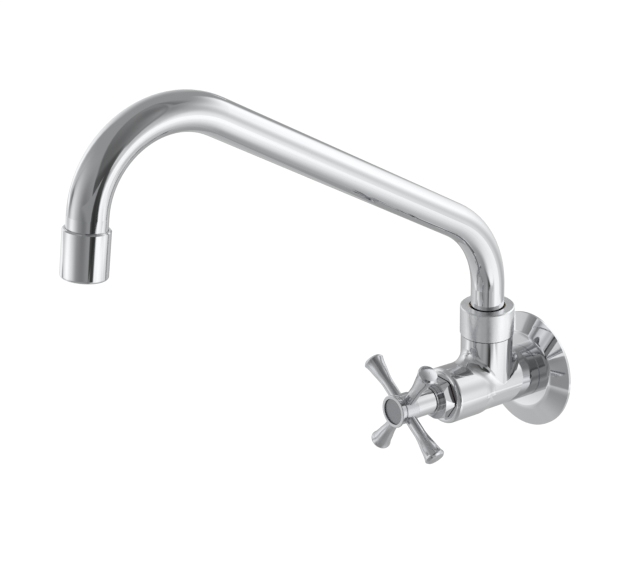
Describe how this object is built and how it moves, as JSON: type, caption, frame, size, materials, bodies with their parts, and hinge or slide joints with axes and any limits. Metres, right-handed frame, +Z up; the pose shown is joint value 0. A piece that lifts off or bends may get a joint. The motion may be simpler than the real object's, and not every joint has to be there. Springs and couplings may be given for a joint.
{
  "type": "wall_faucet",
  "caption": "Chrome commercial wall faucet with one inlet: screw-down valve, cross handle, round wall flange and a long swivelling spout that rises and hooks over to its outlet.",
  "frame": {"origin": "On the wall's surface, on the axis of the inlet tail and valve barrel, which is where the wall flange meets the wall.", "axes": "+Y goes into the wall along the inlet tail. -Y comes out of the wall towards the handle. +Z is up. +X is to the right of a person who faces the wall."},
  "size_m": [0.0696, 0.3206, 0.233],
  "materials": {
    "chrome": "polished",
    "satin_button": "satin",
    "brass": "machined",
    "stainless": "bright",
    "black_rubber": "matte",
    "brown_fibre": "matte",
    "white_plastic": "matte"
  },
  "bodies": {
    "body": {"valve_body": "chrome", "wall_flange": "chrome", "flange_seal": "black_rubber", "valve_seat": "brass", "bonnet": "chrome", "bonnet_washer": "brown_fibre", "neck_rings": "chrome", "thrust_washer": "white_plastic", "spout_nut": "chrome", "slip_rings": "white_plastic"},
    "spout": {"spout_tube": "chrome", "spout_foot": "brass", "foot_o_rings": "black_rubber", "outlet_sleeve": "chrome", "aerator_washer": "black_rubber", "aerator_screen": "stainless", "aerator_insert": "white_plastic", "aerator_lock_ring": "chrome"},
    "handle": {"spindle": "brass", "spindle_o_rings": "black_rubber", "circlip": "stainless", "cross_handle": "chrome", "handle_skirt": "chrome", "handle_screw": "stainless", "index_button": "satin_button"},
    "carrier": {"valve_carrier": "brass", "valve_washer": "black_rubber", "washer_screw": "stainless"}
  },
  "joints": [
    {"name": "spout_swivel", "type": "hinge", "parent": "body", "child": "spout", "pos_m": [0, -0.0344, 0], "axis": [0, -0.0837, 0.9965], "range_deg": [-90, 90]},
    {"name": "handle_turn", "type": "hinge", "parent": "body", "child": "handle", "pos_m": [0, -0.0976, 0], "axis": [0, -1, 0], "range_deg": [0, 720]},
    {"name": "valve_lift", "type": "slide", "parent": "body", "child": "carrier", "axis": [0, -1, 0], "range_m": [0, 0.004]}
  ],
  "couplings": [
    {"joint": "valve_lift", "follows": "handle_turn", "m_per_rad": 0.00031831}
  ]
}
